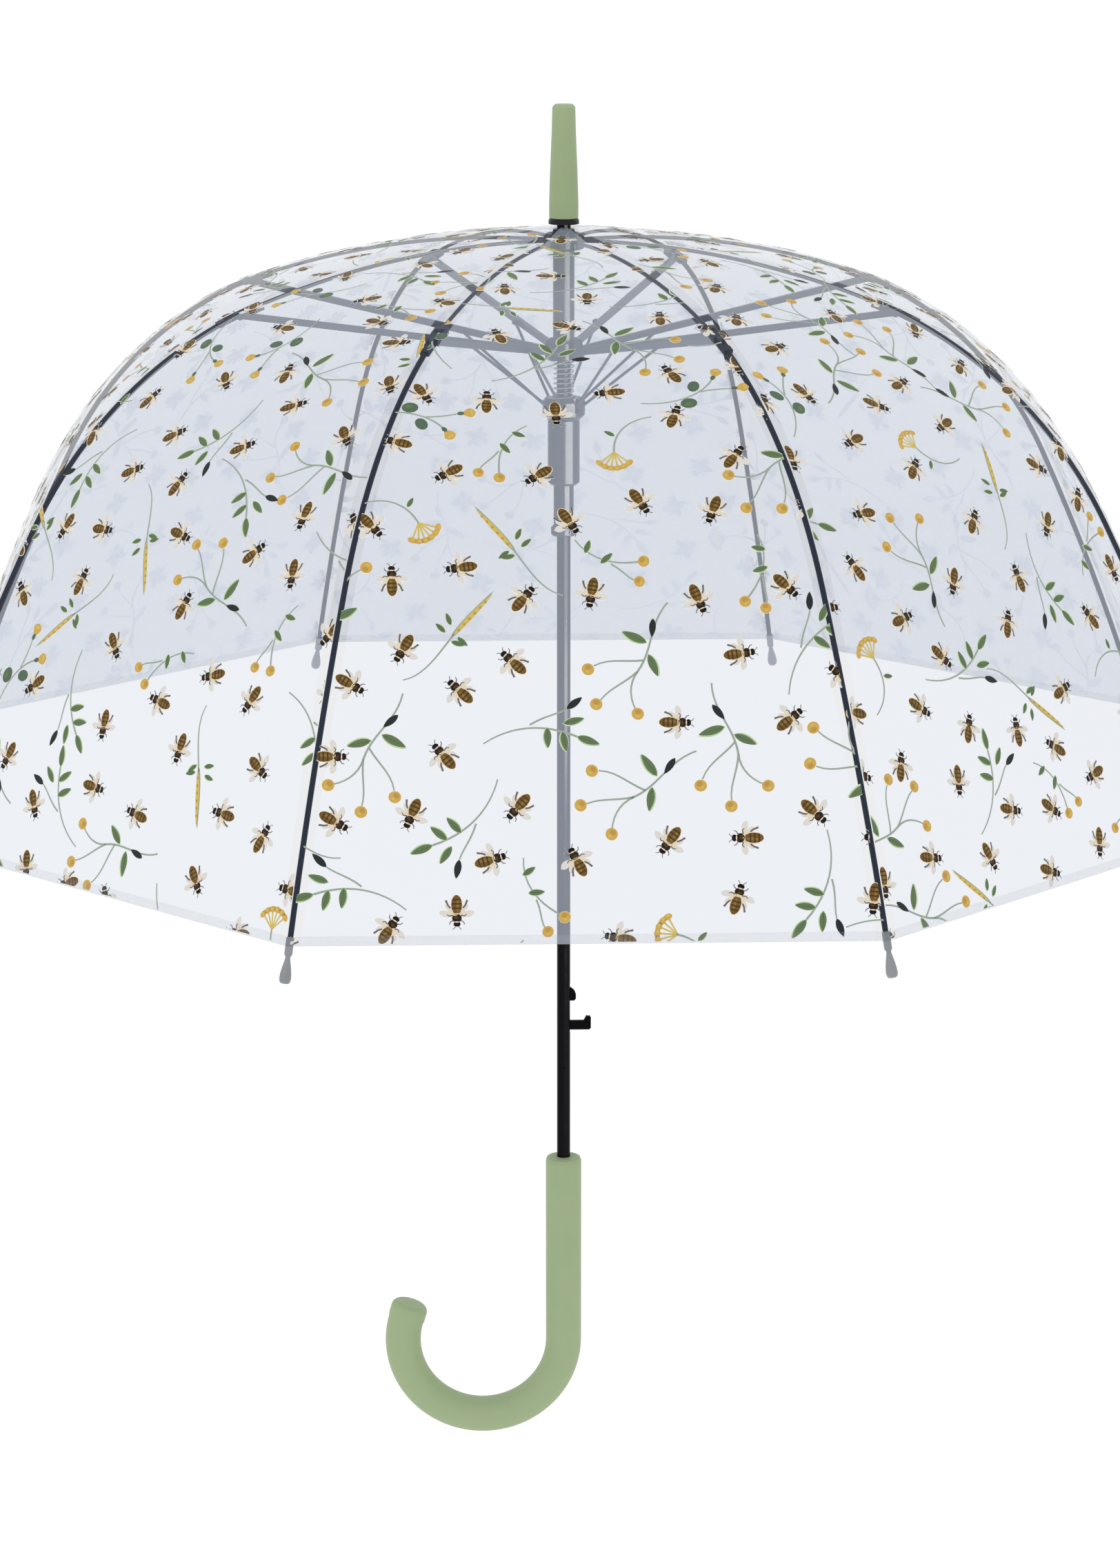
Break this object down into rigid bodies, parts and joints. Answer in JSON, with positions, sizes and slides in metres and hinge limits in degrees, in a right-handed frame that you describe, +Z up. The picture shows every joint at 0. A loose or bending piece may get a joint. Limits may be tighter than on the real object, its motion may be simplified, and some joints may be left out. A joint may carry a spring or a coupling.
{
  "type": "clear dome umbrella",
  "caption": "Clear dome umbrella with a printed film canopy, sprung sliding runners, folding ribs, stretchers and struts, a release trigger and a hooked handle.",
  "frame": {"origin": "middle of the straight grip, on the axis of the shaft", "axes": "+Z up the shaft towards the finial; the crook hooks towards -X; the thumb lever points to +X; a canopy gore faces -Y"},
  "size_m": [0.7526, 0.7526, 0.8082],
  "materials": {
    "sage_plastic": "matte moulded",
    "dark_plastic": "satin moulded",
    "black_steel": "gloss black enamel",
    "rib_steel": "satin enamel",
    "rib_rod": "satin black",
    "stretcher_steel": "satin enamel",
    "steel_wire": "bright drawn",
    "spring_steel": "drawn",
    "cap_plastic": "translucent moulded",
    "clear_film": "clear polished film"
  },
  "bodies": {
    "frame": {"shaft": "black_steel", "finial": "sage_plastic", "crown_washer": "dark_plastic", "crown_notch": "dark_plastic", "crown_wire": "steel_wire", "trigger_pin": "black_steel", "handle": "sage_plastic", "canopy": "clear_film"},
    "upper_runner": {"upper_runner": "dark_plastic", "runner_wire": "steel_wire"},
    "lower_runner": {"lower_runner": "dark_plastic", "runner_collar": "dark_plastic", "opening_spring": "spring_steel"},
    "trigger": {"trigger": "black_steel", "trigger_spring": "spring_steel"},
    "upper_rib_1": {"rib_inner_1": "rib_steel"},
    "lower_rib_1": {"rib_outer_1": "rib_rod", "tip_cap_1": "cap_plastic"},
    "stretcher_1": {"stretcher_1": "stretcher_steel"},
    "strut_1": {"strut_1": "stretcher_steel"},
    "upper_rib_2": {"rib_inner_2": "rib_steel"},
    "lower_rib_2": {"rib_outer_2": "rib_rod", "tip_cap_2": "cap_plastic"},
    "stretcher_2": {"stretcher_2": "stretcher_steel"},
    "strut_2": {"strut_2": "stretcher_steel"},
    "upper_rib_3": {"rib_inner_3": "rib_steel"},
    "lower_rib_3": {"rib_outer_3": "rib_rod", "tip_cap_3": "cap_plastic"},
    "stretcher_3": {"stretcher_3": "stretcher_steel"},
    "strut_3": {"strut_3": "stretcher_steel"},
    "upper_rib_4": {"rib_inner_4": "rib_steel"},
    "lower_rib_4": {"rib_outer_4": "rib_rod", "tip_cap_4": "cap_plastic"},
    "stretcher_4": {"stretcher_4": "stretcher_steel"},
    "strut_4": {"strut_4": "stretcher_steel"},
    "upper_rib_5": {"rib_inner_5": "rib_steel"},
    "lower_rib_5": {"rib_outer_5": "rib_rod", "tip_cap_5": "cap_plastic"},
    "stretcher_5": {"stretcher_5": "stretcher_steel"},
    "strut_5": {"strut_5": "stretcher_steel"},
    "upper_rib_6": {"rib_inner_6": "rib_steel"},
    "lower_rib_6": {"rib_outer_6": "rib_rod", "tip_cap_6": "cap_plastic"},
    "stretcher_6": {"stretcher_6": "stretcher_steel"},
    "strut_6": {"strut_6": "stretcher_steel"},
    "upper_rib_7": {"rib_inner_7": "rib_steel"},
    "lower_rib_7": {"rib_outer_7": "rib_rod", "tip_cap_7": "cap_plastic"},
    "stretcher_7": {"stretcher_7": "stretcher_steel"},
    "strut_7": {"strut_7": "stretcher_steel"},
    "upper_rib_8": {"rib_inner_8": "rib_steel"},
    "lower_rib_8": {"rib_outer_8": "rib_rod", "tip_cap_8": "cap_plastic"},
    "stretcher_8": {"stretcher_8": "stretcher_steel"},
    "strut_8": {"strut_8": "stretcher_steel"}
  },
  "joints": [
    {"name": "canopy_fold", "type": "hinge", "parent": "frame", "child": "upper_rib_1", "pos_m": [0.00831, 0.00344, 0.611], "axis": [-0.3827, 0.9239, 0], "range_deg": [0, 68], "stiffness_Nm_per_rad": 1.2, "springref_deg": -57.3, "deforming": ["canopy"]},
    {"name": "lower_rib_fold_1", "type": "hinge", "parent": "upper_rib_1", "child": "lower_rib_1", "pos_m": [0.18478, 0.07654, 0.579], "axis": [-0.3827, 0.9239, 0], "range_deg": [-32, 0]},
    {"name": "stretcher_fold_1", "type": "hinge", "parent": "upper_rib_1", "child": "stretcher_1", "pos_m": [0.18478, 0.07654, 0.579], "axis": [-0.3827, 0.9239, 0], "range_deg": [-136, 0]},
    {"name": "strut_fold_1", "type": "hinge", "parent": "stretcher_1", "child": "strut_1", "pos_m": [0.05752, 0.02382, 0.55592], "axis": [-0.3827, 0.9239, 0], "range_deg": [0, 25.21]},
    {"name": "rib_fold_2", "type": "hinge", "parent": "frame", "child": "upper_rib_2", "pos_m": [0.00344, 0.00831, 0.611], "axis": [-0.9239, 0.3827, 0], "range_deg": [0, 68]},
    {"name": "lower_rib_fold_2", "type": "hinge", "parent": "upper_rib_2", "child": "lower_rib_2", "pos_m": [0.07654, 0.18478, 0.579], "axis": [-0.9239, 0.3827, 0], "range_deg": [-32, 0]},
    {"name": "stretcher_fold_2", "type": "hinge", "parent": "upper_rib_2", "child": "stretcher_2", "pos_m": [0.07654, 0.18478, 0.579], "axis": [-0.9239, 0.3827, 0], "range_deg": [-136, 0]},
    {"name": "strut_fold_2", "type": "hinge", "parent": "stretcher_2", "child": "strut_2", "pos_m": [0.02382, 0.05752, 0.55592], "axis": [-0.9239, 0.3827, 0], "range_deg": [0, 25.21]},
    {"name": "rib_fold_3", "type": "hinge", "parent": "frame", "child": "upper_rib_3", "pos_m": [-0.00344, 0.00831, 0.611], "axis": [-0.9239, -0.3827, 0], "range_deg": [0, 68]},
    {"name": "lower_rib_fold_3", "type": "hinge", "parent": "upper_rib_3", "child": "lower_rib_3", "pos_m": [-0.07654, 0.18478, 0.579], "axis": [-0.9239, -0.3827, 0], "range_deg": [-32, 0]},
    {"name": "stretcher_fold_3", "type": "hinge", "parent": "upper_rib_3", "child": "stretcher_3", "pos_m": [-0.07654, 0.18478, 0.579], "axis": [-0.9239, -0.3827, 0], "range_deg": [-136, 0]},
    {"name": "strut_fold_3", "type": "hinge", "parent": "stretcher_3", "child": "strut_3", "pos_m": [-0.02382, 0.05752, 0.55592], "axis": [-0.9239, -0.3827, 0], "range_deg": [0, 25.21]},
    {"name": "rib_fold_4", "type": "hinge", "parent": "frame", "child": "upper_rib_4", "pos_m": [-0.00831, 0.00344, 0.611], "axis": [-0.3827, -0.9239, 0], "range_deg": [0, 68]},
    {"name": "lower_rib_fold_4", "type": "hinge", "parent": "upper_rib_4", "child": "lower_rib_4", "pos_m": [-0.18478, 0.07654, 0.579], "axis": [-0.3827, -0.9239, 0], "range_deg": [-32, 0]},
    {"name": "stretcher_fold_4", "type": "hinge", "parent": "upper_rib_4", "child": "stretcher_4", "pos_m": [-0.18478, 0.07654, 0.579], "axis": [-0.3827, -0.9239, 0], "range_deg": [-136, 0]},
    {"name": "strut_fold_4", "type": "hinge", "parent": "stretcher_4", "child": "strut_4", "pos_m": [-0.05752, 0.02382, 0.55592], "axis": [-0.3827, -0.9239, 0], "range_deg": [0, 25.21]},
    {"name": "rib_fold_5", "type": "hinge", "parent": "frame", "child": "upper_rib_5", "pos_m": [-0.00831, -0.00344, 0.611], "axis": [0.3827, -0.9239, 0], "range_deg": [0, 68]},
    {"name": "lower_rib_fold_5", "type": "hinge", "parent": "upper_rib_5", "child": "lower_rib_5", "pos_m": [-0.18478, -0.07654, 0.579], "axis": [0.3827, -0.9239, 0], "range_deg": [-32, 0]},
    {"name": "stretcher_fold_5", "type": "hinge", "parent": "upper_rib_5", "child": "stretcher_5", "pos_m": [-0.18478, -0.07654, 0.579], "axis": [0.3827, -0.9239, 0], "range_deg": [-136, 0]},
    {"name": "strut_fold_5", "type": "hinge", "parent": "stretcher_5", "child": "strut_5", "pos_m": [-0.05752, -0.02382, 0.55592], "axis": [0.3827, -0.9239, 0], "range_deg": [0, 25.21]},
    {"name": "rib_fold_6", "type": "hinge", "parent": "frame", "child": "upper_rib_6", "pos_m": [-0.00344, -0.00831, 0.611], "axis": [0.9239, -0.3827, 0], "range_deg": [0, 68]},
    {"name": "lower_rib_fold_6", "type": "hinge", "parent": "upper_rib_6", "child": "lower_rib_6", "pos_m": [-0.07654, -0.18478, 0.579], "axis": [0.9239, -0.3827, 0], "range_deg": [-32, 0]},
    {"name": "stretcher_fold_6", "type": "hinge", "parent": "upper_rib_6", "child": "stretcher_6", "pos_m": [-0.07654, -0.18478, 0.579], "axis": [0.9239, -0.3827, 0], "range_deg": [-136, 0]},
    {"name": "strut_fold_6", "type": "hinge", "parent": "stretcher_6", "child": "strut_6", "pos_m": [-0.02382, -0.05752, 0.55592], "axis": [0.9239, -0.3827, 0], "range_deg": [0, 25.21]},
    {"name": "rib_fold_7", "type": "hinge", "parent": "frame", "child": "upper_rib_7", "pos_m": [0.00344, -0.00831, 0.611], "axis": [0.9239, 0.3827, 0], "range_deg": [0, 68]},
    {"name": "lower_rib_fold_7", "type": "hinge", "parent": "upper_rib_7", "child": "lower_rib_7", "pos_m": [0.07654, -0.18478, 0.579], "axis": [0.9239, 0.3827, 0], "range_deg": [-32, 0]},
    {"name": "stretcher_fold_7", "type": "hinge", "parent": "upper_rib_7", "child": "stretcher_7", "pos_m": [0.07654, -0.18478, 0.579], "axis": [0.9239, 0.3827, 0], "range_deg": [-136, 0]},
    {"name": "strut_fold_7", "type": "hinge", "parent": "stretcher_7", "child": "strut_7", "pos_m": [0.02382, -0.05752, 0.55592], "axis": [0.9239, 0.3827, 0], "range_deg": [0, 25.21]},
    {"name": "rib_fold_8", "type": "hinge", "parent": "frame", "child": "upper_rib_8", "pos_m": [0.00831, -0.00344, 0.611], "axis": [0.3827, 0.9239, 0], "range_deg": [0, 68]},
    {"name": "lower_rib_fold_8", "type": "hinge", "parent": "upper_rib_8", "child": "lower_rib_8", "pos_m": [0.18478, -0.07654, 0.579], "axis": [0.3827, 0.9239, 0], "range_deg": [-32, 0]},
    {"name": "stretcher_fold_8", "type": "hinge", "parent": "upper_rib_8", "child": "stretcher_8", "pos_m": [0.18478, -0.07654, 0.579], "axis": [0.3827, 0.9239, 0], "range_deg": [-136, 0]},
    {"name": "strut_fold_8", "type": "hinge", "parent": "stretcher_8", "child": "strut_8", "pos_m": [0.05752, -0.02382, 0.55592], "axis": [0.3827, 0.9239, 0], "range_deg": [0, 25.21]},
    {"name": "upper_runner_travel", "type": "hinge", "parent": "stretcher_1", "child": "upper_runner", "pos_m": [0.00831, 0.00344, 0.547], "axis": [-0.3827, 0.9239, 0], "range_deg": [0, 68]},
    {"name": "lower_runner_slide", "type": "slide", "parent": "upper_runner", "child": "lower_runner", "axis": [0, 0, 1], "range_m": [0, 0.01954], "deforming": ["opening_spring"]},
    {"name": "trigger_press", "type": "hinge", "parent": "frame", "child": "trigger", "pos_m": [0, 0, 0.114], "axis": [0, -1, 0], "range_deg": [0, 5.5], "stiffness_Nm_per_rad": 0.04, "springref_deg": -8.59}
  ],
  "couplings": [
    {"joint": "lower_rib_fold_1", "follows": "canopy_fold", "ratio": -0.47059},
    {"joint": "stretcher_fold_1", "follows": "canopy_fold", "ratio": -2},
    {"joint": "strut_fold_1", "follows": "canopy_fold", "ratio": 0.37067},
    {"joint": "rib_fold_2", "follows": "canopy_fold", "ratio": 1},
    {"joint": "lower_rib_fold_2", "follows": "canopy_fold", "ratio": -0.47059},
    {"joint": "stretcher_fold_2", "follows": "canopy_fold", "ratio": -2},
    {"joint": "strut_fold_2", "follows": "canopy_fold", "ratio": 0.37067},
    {"joint": "rib_fold_3", "follows": "canopy_fold", "ratio": 1},
    {"joint": "lower_rib_fold_3", "follows": "canopy_fold", "ratio": -0.47059},
    {"joint": "stretcher_fold_3", "follows": "canopy_fold", "ratio": -2},
    {"joint": "strut_fold_3", "follows": "canopy_fold", "ratio": 0.37067},
    {"joint": "rib_fold_4", "follows": "canopy_fold", "ratio": 1},
    {"joint": "lower_rib_fold_4", "follows": "canopy_fold", "ratio": -0.47059},
    {"joint": "stretcher_fold_4", "follows": "canopy_fold", "ratio": -2},
    {"joint": "strut_fold_4", "follows": "canopy_fold", "ratio": 0.37067},
    {"joint": "rib_fold_5", "follows": "canopy_fold", "ratio": 1},
    {"joint": "lower_rib_fold_5", "follows": "canopy_fold", "ratio": -0.47059},
    {"joint": "stretcher_fold_5", "follows": "canopy_fold", "ratio": -2},
    {"joint": "strut_fold_5", "follows": "canopy_fold", "ratio": 0.37067},
    {"joint": "rib_fold_6", "follows": "canopy_fold", "ratio": 1},
    {"joint": "lower_rib_fold_6", "follows": "canopy_fold", "ratio": -0.47059},
    {"joint": "stretcher_fold_6", "follows": "canopy_fold", "ratio": -2},
    {"joint": "strut_fold_6", "follows": "canopy_fold", "ratio": 0.37067},
    {"joint": "rib_fold_7", "follows": "canopy_fold", "ratio": 1},
    {"joint": "lower_rib_fold_7", "follows": "canopy_fold", "ratio": -0.47059},
    {"joint": "stretcher_fold_7", "follows": "canopy_fold", "ratio": -2},
    {"joint": "strut_fold_7", "follows": "canopy_fold", "ratio": 0.37067},
    {"joint": "rib_fold_8", "follows": "canopy_fold", "ratio": 1},
    {"joint": "lower_rib_fold_8", "follows": "canopy_fold", "ratio": -0.47059},
    {"joint": "stretcher_fold_8", "follows": "canopy_fold", "ratio": -2},
    {"joint": "strut_fold_8", "follows": "canopy_fold", "ratio": 0.37067},
    {"joint": "upper_runner_travel", "follows": "canopy_fold", "ratio": 1},
    {"joint": "lower_runner_slide", "follows": "canopy_fold", "m_per_rad": 0.016456}
  ]
}
